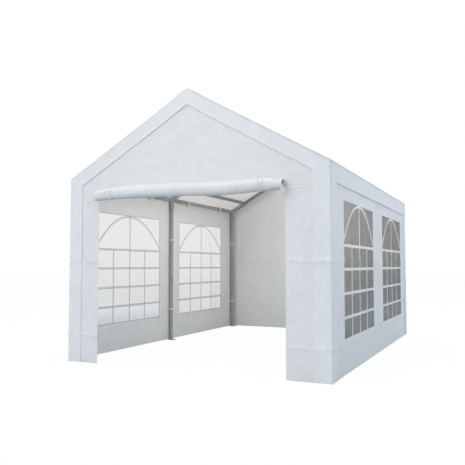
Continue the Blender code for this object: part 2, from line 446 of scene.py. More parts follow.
def coated_cloth(tree, colour, single, doubled):
    """Woven polyethylene tarpaulin with a white coating, flat-woven and laminated.

    It gives the eye a satin white with a squared scrim under the coating, streaks where tapes lie
    unevenly, and light through it: the shares that single and doubled cloth pass are given. A stored tone
    scales the colour: lighter on fold crests, partly where the coating turned white and partly a painted
    highlight, and darker as painted shade below the folds and on the rolled door's underside. The scrim
    repeats every 24 mm, twice the real 12 mm, so that it shows.
    """
    uv = add_node(tree, "TexCoord", output="UV")
    warp, weft = [add_node(tree, "TexWave", {"Vector": uv, "Scale": band_scale(0.024), "Distortion": 0.6,
                                             "Detail": 1.0, "Detail Scale": 2.0}, "Fac", bands_direction=way)
                  for way in "XY"]
    scrim = add_node(tree, "Math", {0: warp, 1: weft}, operation="MAXIMUM")
    streaks = []
    for scale in ((9.0, 90.0, 1.0), (90.0, 7.0, 1.0)):
        drawn_out = add_node(tree, "Mapping", {"Vector": uv, "Scale": scale})
        streaks.append(add_node(tree, "TexNoise", {"Vector": drawn_out, "Scale": 1.0, "Detail": 2.0}))
    both_ways = add_node(tree, "Math", {0: streaks[0], 1: streaks[1]}, operation="ADD")
    clouds = add_node(tree, "TexNoise", {"Vector": uv, "Scale": 5.0, "Detail": 4.0, "Roughness": 0.6})
    tone = add_node(tree, "Math", {0: both_ways, 1: clouds}, operation="ADD")
    spread = add_node(tree, "MapRange", {"Value": tone, "From Min": 1.15, "From Max": 1.85})
    shade = [value * factor for value, factor in zip(colour, (0.90, 0.925, 0.95))]
    tinted = add_node(tree, "Mix", {"Factor": spread, 6: toned(shade), 7: toned(colour)}, 2,
                      data_type="RGBA")
    scrim_share = add_node(tree, "MapRange", {"Value": scrim, "From Min": 0.6, "From Max": 1.0,
                                              "To Max": 0.02})
    squared = add_node(tree, "Mix", {"Factor": scrim_share, 6: tinted, 7: (0.55, 0.60, 0.66, 1.0)}, 2,
                       data_type="RGBA")
    # The stored tone scales the colour: fold crests lighter, partly whitened coating and partly painted
    # highlight; painted shade below the folds and under the roll.
    folds = add_node(tree, "Attribute", output="Fac", attribute_name="creased")
    crease_and_shade_tone = add_node(tree, "MapRange", {"Value": folds, "From Min": -3.0, "From Max": 1.0,
                                            "To Min": 0.70, "To Max": 1.10})
    creased = add_node(tree, "VectorMath", {0: squared, "Scale": crease_and_shade_tone}, operation="SCALE")
    height = add_node(tree, "Math", {0: scrim, 1: 0.4, 2: tone}, operation="MULTIPLY_ADD")
    bump = add_node(tree, "Bump", {"Height": height, "Strength": 0.3, "Distance": 0.0014})
    gloss = add_node(tree, "MapRange", {"Value": clouds, "From Min": 0.3, "From Max": 0.7,
                                        "To Min": 0.42, "To Max": 0.58})
    surface = add_node(tree, "BsdfPrincipled", {"Base Color": creased, "Roughness": gloss,
                                                "Specular IOR Level": 0.35, "Normal": bump})
    inside = add_node(tree, "Mix", {"Factor": spread, 6: (0.84, 0.81, 0.77, 1.0),
                                    7: (0.95, 0.92, 0.88, 1.0)}, 2, data_type="RGBA")
    through = add_node(tree, "BsdfTranslucent", {"Color": inside, "Normal": bump})
    layers = add_node(tree, "Attribute", output="Fac", attribute_name="doubled")
    passed = add_node(tree, "MapRange", {"Value": layers, "To Min": single, "To Max": doubled})
    return add_node(tree, "MixShader", {0: passed, 1: surface, 2: through})


def clear_film(tree, colour):
    """Clear soft PVC film, calendered.

    It gives the eye a thin smoky veil that greys what lies behind it, more along a slanted view and, as
    painted shade, towards the foot, and a faint ripple in its gloss, 60 mm apart, as in film folded for
    packing.
    """
    uv = add_node(tree, "TexCoord", output="UV")
    ripple = add_node(tree, "TexNoise", {"Vector": uv, "Scale": 16.0, "Detail": 2.0})
    bump = add_node(tree, "Bump", {"Height": ripple, "Strength": 0.4, "Distance": 0.002})
    haze = add_node(tree, "Mix", {"Factor": ripple, 6: toned(colour), 7: toned(colour, 1.15)}, 2,
                    data_type="RGBA")
    slant = add_node(tree, "LayerWeight", {"Blend": 0.5}, "Facing")
    veil = add_node(tree, "MapRange", {"Value": slant, "From Min": 0.54, "From Max": 0.80,
                                       "To Min": 0.11, "To Max": 0.55})
    place = add_node(tree, "TexCoord", output="Object")
    height = add_node(tree, "SeparateXYZ", {"Vector": place}, "Z")
    # Painted shade: the veil thickens towards the foot, standing in for the darker ground seen through the
    # lower panes.
    foot_shade = add_node(tree, "MapRange", {"Value": height, "From Min": 0.35, "From Max": 1.3,
                                       "To Min": 0.05, "To Max": 0.0})
    cover = add_node(tree, "Math", {0: veil, 1: foot_shade}, operation="ADD")
    return add_node(tree, "BsdfPrincipled", {"Base Color": haze, "Roughness": 0.25,
                                             "Specular IOR Level": 0.2, "Alpha": cover, "Normal": bump})


def welded_strip(tree, colour):
    """White PVC strip, welded on the film.

    It gives the eye a smooth, slightly glossy bright white, with clouds about 70 mm across, that turns grey
    against the light.
    """
    place = add_node(tree, "TexCoord", output="Object")
    clouds = add_node(tree, "TexNoise", {"Vector": place, "Scale": 14.0, "Detail": 3.0})
    tone = add_node(tree, "Mix", {"Factor": clouds, 6: toned(colour), 7: toned(colour, 0.93)}, 2,
                    data_type="RGBA")
    bump = add_node(tree, "Bump", {"Height": clouds, "Strength": 0.2, "Distance": 0.001})
    surface = add_node(tree, "BsdfPrincipled", {"Base Color": tone, "Roughness": 0.38, "Normal": bump})
    through = add_node(tree, "BsdfTranslucent", {"Color": toned(linear("#FFFFFF"))})
    return add_node(tree, "MixShader", {0: 0.75, 1: surface, 2: through})


def galvanised(tree, colour, spangle):
    """Steel tube, hot-dip galvanised.

    It gives the eye a dull mid grey with cloudy crystals, the spangle, 10 mm across on the tubes and 7 mm
    on the fittings, and dull streaks, 30 mm wide, where the zinc ran.
    """
    place = add_node(tree, "TexCoord", output="Object")
    crystals = add_node(tree, "TexVoronoi", {"Vector": place, "Scale": 1 / spangle}, "Color")
    grain = add_node(tree, "SeparateColor", {"Color": crystals})
    runs = add_node(tree, "Mapping", {"Vector": place, "Scale": (30.0, 30.0, 3.0)})
    streaks = add_node(tree, "TexNoise", {"Vector": runs, "Scale": 1.0, "Detail": 4.0})
    tone = add_node(tree, "Math", {0: grain, 1: streaks}, operation="ADD")
    spread = add_node(tree, "MapRange", {"Value": tone, "From Min": 0.2, "From Max": 1.6})
    clouded = add_node(tree, "Mix", {"Factor": spread, 6: toned(colour, 0.72), 7: toned(colour, 1.2)}, 2,
                       data_type="RGBA")
    gloss = add_node(tree, "MapRange", {"Value": streaks, "From Min": 0.3, "From Max": 0.7,
                                        "To Min": 0.38, "To Max": 0.58})
    bump = add_node(tree, "Bump", {"Height": streaks, "Strength": 0.25, "Distance": 0.0006})
    return add_node(tree, "BsdfPrincipled", {"Base Color": clouded, "Metallic": 0.35, "Roughness": gloss,
                                             "Normal": bump})


def braided_cord(tree, colour):
    """Polyester webbing, string or cord over rubber, braided.

    It gives the eye a matt off-white with a fine diagonal braid, drawn 4 mm wide so that it shows.
    """
    place = add_node(tree, "TexCoord", output="Object")
    turned = add_node(tree, "Mapping", {"Vector": place, "Rotation": (0.6, 0.7, 0.8)})
    braid = add_node(tree, "TexWave", {"Vector": turned, "Scale": band_scale(0.004), "Distortion": 1.0},
                     "Fac")
    tone = add_node(tree, "Mix", {"Factor": braid, 6: toned(colour, 0.8), 7: toned(colour)}, 2,
                    data_type="RGBA")
    bump = add_node(tree, "Bump", {"Height": braid, "Strength": 0.5, "Distance": 0.0008})
    return add_node(tree, "BsdfPrincipled", {"Base Color": tone, "Roughness": 0.75, "Sheen Weight": 0.2,
                                             "Normal": bump})


# Each finish: how it is made, its colour's setting and its own sizes and shares
FINISHES = {
    "coated_cover_cloth": (coated_cloth, "cover", 0.56, 0.18),
    "coated_wall_cloth": (coated_cloth, "wall", 0.22, 0.22),
    "coated_door_cloth": (coated_cloth, "door", 0.22, 0.22),
    "clear_film": (clear_film, "film"),
    "welded_strip": (welded_strip, "bars"),
    "tie_webbing": (braided_cord, "webbing"),
    "tie_string": (braided_cord, "string"),
    "braided_elastic": (braided_cord, "elastic"),
    "galvanised_tube": (galvanised, "steel", 0.010),
    "galvanised_roof_tube": (galvanised, "roof_steel", 0.010),
    "galvanised_fitting": (galvanised, "fittings", 0.007),
}


def new_material(name, fill, *facts):
    """A material whose surface is what the function fills its empty node tree with."""
    material = bpy.data.materials.new(name)
    material.use_nodes = True
    tree = material.node_tree
    tree.nodes.clear()
    add_node(tree, "OutputMaterial", {"Surface": fill(tree, *facts)})
    return material


def finish_named(name):
    """One of the tent's finishes, made when it is first asked for."""
    if name not in bpy.data.materials:
        fill, colour, *facts = FINISHES[name]
        new_material(name, fill, tuple(getattr(bpy.context.scene.tent_colours, colour)), *facts)
    return bpy.data.materials[name]


# The cover

def roof_height(x):
    """Height of the cover over a place x, without its sag."""
    return RIDGE_Z - SLOPE * np.abs(x)


def cover_place(u, v):
    """Where a point of the cover's flat cut hangs, before sag, stand-off and folds."""
    on_slope = np.minimum(np.abs(u), SLOPE_LENGTH)
    side_drop = np.abs(u) - on_slope
    x = np.sign(u) * on_slope * SLOPE_COS
    y = np.clip(v, FRONT_Y, BACK_Y)
    end_drop = np.abs(v - y)
    z = roof_height(x) - side_drop - np.minimum(end_drop, FLAP_DROP)
    leg_share = np.maximum(end_drop - FLAP_DROP, 0) / (EAVE_Z - FRONT_FOOT - FLAP_DROP)
    return stacked(x, y, z + leg_share * (FRONT_FOOT - z))


def cover_goes(u, v):
    """Which parts of the square cloth are cut away between the flaps, valances and corner legs."""
    cloth = cloth_settings()
    past_side = np.abs(u) - SLOPE_LENGTH
    front = FRONT_Y - v
    back = v - BACK_Y
    past_end = np.maximum(front, back)
    front_leg = (cloth.leg_width / SLOPE_COS > -past_side) & (front > 0)
    back_leg = (cloth.back_leg / SLOPE_COS > -past_side) & (back > 0)
    side_leg = (-front < cloth.leg_side) | (-back < cloth.back_leg_side)
    corner = (past_side > 0) & (past_end > 0)
    past_valance = (past_side > VALANCE_DROP) & ~side_leg
    past_flap = (past_end > FLAP_DROP) & ~front_leg & ~back_leg
    return corner | past_valance | past_flap


def bay_arch(y):
    """0 at each frame along the tent and 1 in the middle of each bay."""
    places = sorted(FRAME_Y.values())
    bay = (places[-1] - places[0]) / 2
    return np.abs(np.sin(np.pi * (y - places[0]) / bay))


def fold_lines(up, across, seed):
    """How far a point lies above each packing fold across a sheet, and how sharp the fold is there."""
    for number, level in enumerate(FOLD_HEIGHTS):
        waver = 0.006 * line_noise(across, 0.15, seed + number)
        strength = 0.65 + 0.35 * line_noise(across, 0.3, seed + 20 + number)
        yield up - level - waver, strength


def fold_marks(up, across, seed):
    """Packing folds that run across a sheet, each with small puckers beside it."""
    height = 0.0
    for number, (distance, strength) in enumerate(fold_lines(up, across, seed)):
        puckers = soft_noise(across, up, 0.09, 0.012, seed + 40 + number) * bump_at(distance, 0.035)
        height = height + strength * fold(distance) + 0.35 * puckers
    return height


def mark_creases_and_painted_shade(piece, up, across, seed, seam=0.0):
    """Store the tone of the folds and seam, painted into the cloth's colour.

    Above 0 on a fold's crest, partly where the coating turned white and partly a painted highlight; below 0
    the painted shade under each fold, with painted light and shade of the puckers beside it; and on the seam
    a lighter middle between darker edges.
    """
    tone = np.zeros(np.shape(up))
    for number, (distance, strength) in enumerate(fold_lines(up, across, seed)):
        # Painted highlight on the crest, partly the coating's real whitening, and painted shade just below
        # it.
        line = fold(distance - 0.008, SHARP_FOLD) - 0.9 * fold(distance + 0.014, 0.011)
        # Painted light and shade of the puckers beside the fold.
        ruffle = soft_noise(across + 0.6 * up, up, 0.024, 0.10, seed + 60 + number)
        tone = tone + strength * line + 0.45 * ruffle * bump_at(distance - 0.03, 0.06)
    edges = fold(np.abs(up - SEAM_HEIGHT) - SEAM_WIDTH / 2, 0.006)
    mark(piece, "creased", tone + seam * (0.5 * fold(up - SEAM_HEIGHT, 0.010) - 0.9 * edges))


def edge_out(across, z, drop, full_drop, swing, on_leg, leg_out, hills, seed):
    """How far a flap or valance with its hem, or a corner leg, stands off its wall."""
    cloth = cloth_settings()
    large, small = hills
    waves = 0.0010 * soft_noise(across, z, large, 0.35, seed)
    waves = waves + 0.0005 * soft_noise(across, z, small, 0.06, seed + 1)
    hem = cloth.hem_rise * smooth((drop - full_drop + cloth.hem_width) / 0.003)
    hanging = smooth(drop / full_drop) * swing + hem
    return np.where(on_leg, leg_out * smooth((drop - 0.05) / 0.15), hanging) + waves * smooth(drop / 0.1)


def drape_cover(places):
    """Sag the slopes between the tubes, stand the hanging edges off the walls and add folds."""
    cloth = cloth_settings()
    x, y, z = places.T
    edge_round = 0.013
    inside = HALF_WIDTH - np.abs(x)
    from_end = np.minimum(y - FRONT_Y, BACK_Y - y)
    front = np.clip(1 - (y - FRONT_Y) / edge_round, 0, 1)
    back = np.clip(1 - (BACK_Y - y) / edge_round, 0, 1)
    side = np.clip(1 - inside / edge_round, 0, 1)
    skirt = np.maximum(np.maximum(front, back), side)

    inner = np.sin(np.pi * np.clip(np.abs(x) / PURLIN_X, 0, 1))
    outer = 0.2 * np.sin(np.pi * np.clip((np.abs(x) - PURLIN_X) / (HALF_WIDTH - PURLIN_X), 0, 1))
    end_hold = smooth(from_end / 0.25)
    sag = cloth.roof_sag * (inner + outer) * (0.15 + 0.85 * bay_arch(y)) * end_hold
    creases = 0.0024 * soft_noise(x, y, 0.16, 0.5, 3) + 0.0014 * soft_noise(x, y, 0.06, 0.15, 4) - 0.0038
    tension = np.minimum(inner + outer, 1) * (1 - skirt)
    places[:, 2] = z - (sag - creases * end_hold) * tension

    end_drop = np.clip(roof_height(x) - z, 0, None)
    side_drop = np.clip(EAVE_Z - z, 0, None)
    apex = 1 - 0.85 * bump_at(x, 0.07)
    end_out = edge_out(x, z, end_drop, FLAP_DROP, (cloth.flap_off - FRONT_GAP) * apex,
                       np.abs(x) > HALF_WIDTH - cloth.leg_width - 0.01,
                       (cloth.leg_off - FRONT_GAP) * smooth(inside / 0.06), (0.22, 0.07), 5)
    end_out += 0.0015 * skirt + cloth.fold_height * fold_marks(z, x, FRONT_SEED) * smooth(end_drop / 0.3)
    on_leg = (y < FRONT_Y + cloth.leg_side + 0.01) | (y > BACK_Y - cloth.back_leg_side - 0.01)
    side_out = edge_out(y, z, side_drop, VALANCE_DROP, cloth.valance_off - SIDE_GAP, on_leg,
                        (cloth.leg_off - SIDE_GAP) * smooth(from_end / 0.06), (0.3, 0.08), 7)
    side_folds = 0.7 * cloth.fold_height * fold_marks(z, y, SIDE_SEED)
    side_out += 0.0015 * skirt + side_folds * smooth(side_drop / 0.3)

    ridge_round = 0.03
    near_ridge = np.clip(np.abs(x), 0, ridge_round)
    flattened = SLOPE * (ridge_round / 2 + near_ridge ** 2 / (2 * ridge_round) - near_ridge)
    places[:, 2] += 0.010 * bump_at(x, 0.2) - flattened * np.exp(-end_drop / 0.05)
    places[:, 1] = y - front * end_out + back * end_out
    places[:, 0] = x + np.sign(x) * side * side_out
    return places


class TENT_OT_cover(bpy.types.Operator):
    """Build the roof cover: two slopes, valances, gable flaps and corner legs in one cloth"""

    bl_idname = "tent.cover"
    bl_label = "Roof Cover"

    def execute(self, context):
        cloth = cloth_settings()
        leg_drop = EAVE_Z - FRONT_FOOT
        hem = cloth.hem_width
        edge = 0.025
        fold_drops = [EAVE_Z - level + shift for level in FOLD_HEIGHTS for shift in (-0.012, 0.0, 0.012)]
        drops = edge_lines(0, leg_drop, edge, (FLAP_DROP - hem, FLAP_DROP, VALANCE_DROP - hem, VALANCE_DROP,
                                               EAVE_Z - SEAM_HEIGHT, *fold_drops))[1:]
        leg_lines = [SLOPE_LENGTH - width / SLOPE_COS for width in (cloth.leg_width, cloth.back_leg)]
        half = edge_lines(0, SLOPE_LENGTH - edge, COVER_STEP, (PURLIN_X / SLOPE_COS, *leg_lines))
        half += [SLOPE_LENGTH] + [SLOPE_LENGTH + drop for drop in drops]
        across = [-place for place in reversed(half[1:])] + half
        along = edge_lines(FRONT_Y + edge, BACK_Y - edge, COVER_STEP,
                           (*FRAME_Y.values(), FRONT_Y + cloth.leg_side, BACK_Y - cloth.back_leg_side))
        along = [FRONT_Y - drop for drop in reversed(drops)] + [FRONT_Y] + along + [BACK_Y]
        cover = cut_sheet("roof_cover", across, along + [BACK_Y + drop for drop in drops])
        cut_away(cover, cover_goes)
        area = hang(cover, cover_place)
        merge_and(cover, 0.0002, bpy.ops.mesh.normals_make_consistent, inside=False)
        outward(cover, (0, 0, 1))
        bevel(cover, 0.014, 3, 25)
        x, y, z = points_of(cover).T
        rim = 0.012
        on_side = np.abs(x) > HALF_WIDTH - rim
        hanging = (y < FRONT_Y + rim) | (y > BACK_Y - rim) | on_side
        mark(cover, "doubled", hanging & (z < roof_height(x) - 0.02))
        # Fold tones of the cover: painted highlight on crests and painted shade below them.
        mark_creases_and_painted_shade(cover, np.where(hanging, z, EAVE_Z), np.where(on_side, y, x), FRONT_SEED,
                     hanging * smooth((HALF_WIDTH - 0.03 - np.abs(x)) / 0.08) * (x > 0) * (y < 0))
        set_points(cover, drape_cover(points_of(cover)))
        thicken(cover, cloth.thickness)
        finish(cover, "coated_cover_cloth", 75.0)
        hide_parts("roof_cover_left", "roof_cover_right", "valance_left", "valance_right",
                    "gable_flap_front", "gable_flap_back")
        return {"FINISHED"}


# Walls

def wall_sway(across, up, hold, seed):
    """How far a hung wall bellies out: soft upright waves, held still where it is tied."""
    waves = 0.55 * soft_noise(across, up, 0.45, 1.4, seed)
    waves = waves + 0.25 * soft_noise(across, up, 0.16, 0.7, seed + 1)
    return cloth_settings().sway * hold * (waves + 0.12 * soft_noise(across, up, 0.05, 0.12, seed + 2))


def side_sway(y, z):
    """How far a side wall, its film and its bars stand out at a place y, z."""
    hold = bay_arch(y) * (1 - 0.8 * smooth((z - 1.7) / 0.15))
    under_eave = 0.0045 * soft_noise(y, z, 0.28, 0.030, 31) * smooth((z - UNDER_EAVE_Z) / 0.03)
    folds = 0.7 * cloth_settings().fold_height * fold_marks(z, y, SIDE_SEED)
    return wall_sway(y, z, hold, 30) + under_eave + folds


def in_window(y, z, grown=0.0):
    found = np.zeros(np.shape(y), dtype=bool)
    for low, high in WINDOWS.values():
        found |= (y > low.y - grown) & (y < high.y + grown) & (z > low.z - grown) & (z < high.z + grown)
    return found


def hang_wall(wall, place, facing, seed, replaced, seam_from=math.inf):
    """Hang a wall's flat cut, mark its creases with their painted highlight and painted shade, and give it
    its thickness and finish.

    The seam over the doorway shows from a place across the wall onwards, if one is given.
    """
    area = hang(wall, place)
    outward(wall, facing)
    places = points_of(wall)
    across = places[:, 1 if facing[0] else 0]
    mark_creases_and_painted_shade(wall, places[:, 2], across, seed, smooth((across - seam_from) / 0.08))
    thicken(wall, cloth_settings().thickness)
    finish(wall, "coated_wall_cloth")
    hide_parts(*replaced)


class TENT_OT_side_walls(bpy.types.Operator):
    """Build the two side walls with their window openings and hems"""

    bl_idname = "tent.side_walls"
    bl_label = "Side Walls"

    def execute(self, context):
        cloth = cloth_settings()
        low, high = SIDE_WALL_LOW, SIDE_WALL_HIGH
        hem_lines = (-WINDOW_HEM, 0.0, WINDOW_HEM)
        ends = [corner.y + shift for pair in WINDOWS.values() for corner in pair for shift in hem_lines]
        sill, head = [corner.z for corner in WINDOWS["front"]]
        levels = [sill, head, sill - WINDOW_HEM, head + WINDOW_HEM, *FOLD_HEIGHTS]
        rows = edge_lines(FOOT_Z, UNDER_EAVE_Z, WALL_STEP, levels)
        rows += edge_lines(UNDER_EAVE_Z, high.z, WALL_STEP / 2, levels)[1:]
        for side, sign in SIDES.items():
            wall = cut_sheet(f"cloth_{side}_wall", edge_lines(low.y, high.y, WALL_STEP, ends), rows)
            cut_away(wall, in_window)

            def place(u, v):
                hem_out = cloth.hem_rise * in_window(u, v, WINDOW_HEM + 0.001)
                hem_out = hem_out + cloth.hem_rise * (v < FOOT_Z + cloth.hem_width)
                return stacked(sign * (WALL_X + side_sway(u, v) + hem_out), u, v)

            hang_wall(wall, place, (sign, 0, 0), SIDE_SEED,
                      [f"{side}_wall"])
        return {"FINISHED"}


def bar_strips(low, high):
    """Flat strips of one window: their middle lines as points (y, z), their width and their layer."""
    middle = (low.y + high.y) / 2 + PATTERN_SHIFT
    quarter = (high.y - low.y) / 4
    top_bar = BAR_HEIGHTS[-1]
    strips = []
    for level in BAR_HEIGHTS:
        strips.append(([(y, level) for y in edge_lines(low.y - TUCK, high.y + TUCK, BAR_STEP)], BAR_WIDTH, 0))
    for number in (-1, 0, 1):
        top = top_bar if number else top_bar + ARCH_RISE
        line = [(middle + number * quarter, z) for z in edge_lines(low.z - TUCK, top, BAR_STEP)]
        strips.append((line, UPRIGHT_WIDTH, 1))
    arch = []
    for share in np.linspace(1.0, -1.0, 57):
        rise = (ARCH_RISE - ARCH_FOOT) * (1 - abs(share) ** ARCH_POWER)
        arch.append((middle + (2 * quarter - PATTERN_SHIFT * share) * share, top_bar + ARCH_FOOT + rise))
    return strips + [(arch, UPRIGHT_WIDTH, 1)]


def strip_sheet(name, line, width):
    """A flat strip along a line of points: a grid whose columns stand across the line."""
    strip = cut_sheet(name, list(range(len(line))), [-width / 2, 0.0, width / 2])
    flat = points_of(strip)
    line = np.array(line)
    ways = np.gradient(line, axis=0)
    ways /= np.linalg.norm(ways, axis=1)[:, None]
    number = np.rint(flat[:, 0]).astype(int)
    across = np.stack([-ways[number, 1], ways[number, 0]], axis=1)
    places = line[number] + across * flat[:, 1:2]
    set_points(strip, stacked(places[:, 0], places[:, 1], 0.0))
    return strip


class TENT_OT_windows(bpy.types.Operator):
    """Build the clear window films, and the white arch and bars welded on them"""

    bl_idname = "tent.windows"
    bl_label = "Windows"

    def execute(self, context):
        for side, sign in SIDES.items():
            for bay, (low, high) in WINDOWS.items():
                bars = self.make_bars(side, sign, bay, low, high)
                self.make_film(side, sign, bay, low, high, bars)
        return {"FINISHED"}

    def make_bars(self, side, sign, bay, low, high):
        """The arch and bars of one window, the uprights in a layer inside the level bars."""
        strips = []
        for number, (line, width, layer) in enumerate(bar_strips(low, high)):
            strip = strip_sheet(f"strip_{number}", line, width)
            inward = BAR_INSIDE + layer * LAYER_DEPTH
            hang(strip, lambda u, v: stacked(sign * (WALL_X - inward + side_sway(u, v)), u, v))
            outward(strip, (sign, 0, 0))
            thicken(strip, BAR_THICKNESS)
            strips.append(strip)
        bars = join(strips, f"window_bars_{side}_{bay}")
        finish(bars, "welded_strip")
        return bars

    def make_film(self, side, sign, bay, low, high, bars):
        """One window's film, inside its bars, lapped a little over the wall's opening."""
        film = cut_sheet(f"film_{side}_{bay}", edge_lines(low.y - OVERLAP, high.y + OVERLAP, FILM_STEP),
                         edge_lines(low.z - OVERLAP, high.z + OVERLAP, FILM_STEP))

        def place(u, v):
            inward = BAR_INSIDE + 2 * LAYER_DEPTH
            ripple = 0.0004 * soft_noise(u, v, 0.12, 0.16, 44)
            return stacked(sign * (WALL_X - inward - np.abs(ripple) + side_sway(u, v)), u, v)

        area = hang(film, place)
        outward(film, (sign, 0, 0))
        thicken(film, cloth_settings().film_thickness)
        finish(film, "clear_film")
        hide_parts(f"window_{side}_{bay}")


def end_wall_top(x):
    """The top edge of a front or back wall, just under the cover."""
    return roof_height(x) - END_WALL_GAP


END_WALL_TOP = float(end_wall_top(0.0))


def gable_height(x, v, level):
    """Where a row of an end wall lies: rows above a level take shares of the gable, those below it stay."""
    share = np.clip(v - level, 0, None) / (END_WALL_TOP - level)
    return np.where(v > level, level + share * (end_wall_top(x) - level), v)


class TENT_OT_front_wall(bpy.types.Operator):
    """Build the front wall: two panels and the gable over the doorway in one cloth"""

    bl_idname = "tent.front_wall"
    bl_label = "Front Wall"

    def execute(self, context):
        cloth = cloth_settings()
        hem = cloth.hem_width
        columns = edge_lines(-WALL_HALF, WALL_HALF, FRONT_STEP_ACROSS,
                             (DOOR_LEFT, DOOR_LEFT - hem, DOOR_RIGHT, DOOR_RIGHT + hem, *FRONT_FOLDS_X))
        rows = edge_lines(FRONT_FOOT, DOOR_HEAD, FRONT_STEP_UP, (*FOLD_HEIGHTS, FRONT_FOOT + hem))
        rows += edge_lines(DOOR_HEAD, END_WALL_TOP, FRONT_GABLE_STEP)[1:]
        wall = cut_sheet("cloth_front_wall", columns, rows)
        cut_away(wall, lambda u, v: (u > DOOR_LEFT) & (u < DOOR_RIGHT) & (v < DOOR_HEAD))

        def place(u, v):
            z = gable_height(u, v, DOOR_HEAD)
            from_door = np.minimum(np.abs(u - DOOR_LEFT), np.abs(u - DOOR_RIGHT))
            below = z < DOOR_HEAD
            free = HALF_WIDTH - cloth.leg_width - np.abs(u)
            hold = smooth(free / 0.25) * smooth((end_wall_top(u) - z - 0.12) / 0.3)
            out = wall_sway(u, z, hold, 50) + cloth.fold_height * fold_marks(z, u, FRONT_SEED)
            height = 0.5 * cloth.fold_height * (0.6 + 0.4 * line_noise(z, 0.4, 120))
            for line in FRONT_FOLDS_X:
                out = out + height * fold(u - line, SHARP_FOLD) * smooth((1.85 - z) / 0.1)
            out = out + cloth.hem_rise * (np.abs(z - SEAM_HEIGHT) < SEAM_WIDTH / 2) * (u > DOOR_RIGHT)
            out = out + cloth.hem_rise * below * (from_door < hem + 0.0005)
            out = out + 0.0025 * below * smooth(1 - from_door / 0.12) * line_noise(z, 0.35, 121)
            return stacked(u, FRONT_WALL_Y - out, z)

        hang_wall(wall, place, (0, -1, 0), FRONT_SEED,
                  ["front_gable", "front_wall_left", "front_wall_right"],
                  seam_from=1.0)
        return {"FINISHED"}


class TENT_OT_back_wall(bpy.types.Operator):
    """Build the plain back wall with its gable"""

    bl_idname = "tent.back_wall"
    bl_label = "Back Wall"

    def execute(self, context):
        cloth = cloth_settings()
        level_top = EAVE_Z - 0.1
        rows = edge_lines(FOOT_Z, level_top, WALL_STEP, (*FOLD_HEIGHTS, FOOT_Z + cloth.hem_width))
        rows += edge_lines(level_top, END_WALL_TOP, BACK_GABLE_STEP)[1:]
        wall = cut_sheet("cloth_back_wall", edge_lines(-WALL_HALF, WALL_HALF, WALL_STEP, BACK_FOLDS_X), rows)

        def place(u, v):
            z = gable_height(u, v, level_top)
            hold = smooth((WALL_HALF - np.abs(u)) / 0.3) * smooth((end_wall_top(u) - z) / 0.3)
            out = wall_sway(u, z, hold, 70) + 0.6 * cloth.fold_height * fold_marks(z, u, BACK_SEED)
            for number, line in enumerate(BACK_FOLDS_X):
                strength = 0.5 + 0.5 * line_noise(z, 0.5, 140 + number)
                out = out + 0.8 * cloth.fold_height * strength * fold(u - line)
            return stacked(u, BACK_WALL_Y + out, z)

        hang_wall(wall, place, (0, 1, 0), BACK_SEED, ["back_wall"])
        return {"FINISHED"}


# The rolled-up door

ROLL_LOW, ROLL_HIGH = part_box("rolled_door")
ROLL_RADIUS = (ROLL_HIGH.z - ROLL_LOW.z) / 2
ROLL_Y = middle_of("rolled_door", Y)
ROLL_Z = middle_of("rolled_door", Z)
ROLL_LEFT = -1.072
ROLL_RIGHT = ROLL_HIGH.x + 0.010
ROLL_CORE = 0.012
ROLL_PITCH = 0.0072
ROLL_CLEAR = 0.0012
ROLL_OUT = ROLL_RADIUS - ROLL_CLEAR
ROLL_BACK_Y = ROLL_Y + ROLL_RADIUS - ROLL_CLEAR
WHOLE_TURN = (ROLL_OUT - ROLL_CORE) / ROLL_PITCH * math.tau
ROLL_START = math.radians(100)
END_START = math.radians(78)
ROLL_RISE = 0.080
ROLL_HOLLOW = 0.06
ROLL_BULGE = 0.11
ROLL_BULGE_AT = math.radians(222)
# Painted shade on the underside of the roll's outer turn: the angle where it starts, and how dark it gets.
UNDERSIDE = math.radians(218)
UNDERSIDE_SHADE = -2.6
TONGUE_WIDTH = 0.042
TONGUE_LENGTH = 0.064

# Steps between the door's edge lines: along its roll, round its turns and up its rise
ROLL_STEP_ALONG = 0.028
ROLL_STEP_ROUND = 0.009
ROLL_STEP_RISE = 0.012

# Straps, knots as (x, angle in degrees), and string ends as stops of (x, angle, drop below the roll)
TIE_X = {"left": -0.850, "right": 0.850}
STRAP_WIDTH = 0.022
STRAP_THICKNESS = 0.0012
STRAP_LIFT = 0.0022
KNOTS = {"left": (-0.856, 229), "right": (0.840, 236)}
STRINGS = {
    "left": (((-0.928, 155, 0), (-0.914, 168, 0), (-0.888, 187, 0), (-0.856, 229, 0), (-0.853, 236, 0.030)),
             ((-0.884, 150, 0), (-0.897, 158, 0), (-0.914, 168, 0), (-0.930, 190, 0))),
    "right": (((0.853, 127, 0), (0.867, 160, 0), (0.846, 175, 0), (0.821, 190, 0)),
              ((0.815, 118, 0), (0.817, 189, 0), (0.838, 232, 0))),
}
STRING_RADIUS = 0.0023


def roll_size(x):
    """The roll's radius beside its full radius: drawn in at the ties and tapered at both ends."""
    ties = sum(0.03 * bump_at(x - place, 0.030) for place in TIE_X.values())
    left_end = 0.14 * smooth((TIE_X["left"] + 0.02 - x) / 0.20)
    right_end = 0.05 * smooth((x - 0.55) / 0.4) + 0.17 * smooth((x - TIE_X["right"] - 0.02) / 0.15)
    return 1 - ties - left_end - right_end + 0.012 * line_noise(x, 0.25, 150)


def roll_sag(x):
    """How far the roll's middle line lies below straight."""
    between = np.clip((x - TIE_X["left"]) / (TIE_X["right"] - TIE_X["left"]), 0, 1)
    past = 0.075 * np.clip(TIE_X["left"] - x, 0, None) + 0.06 * np.clip(x - TIE_X["right"], 0, None)
    return 0.004 * np.sin(np.pi * between) ** 2 + 0.019 * bump_at(x - 0.47, 0.36) + past


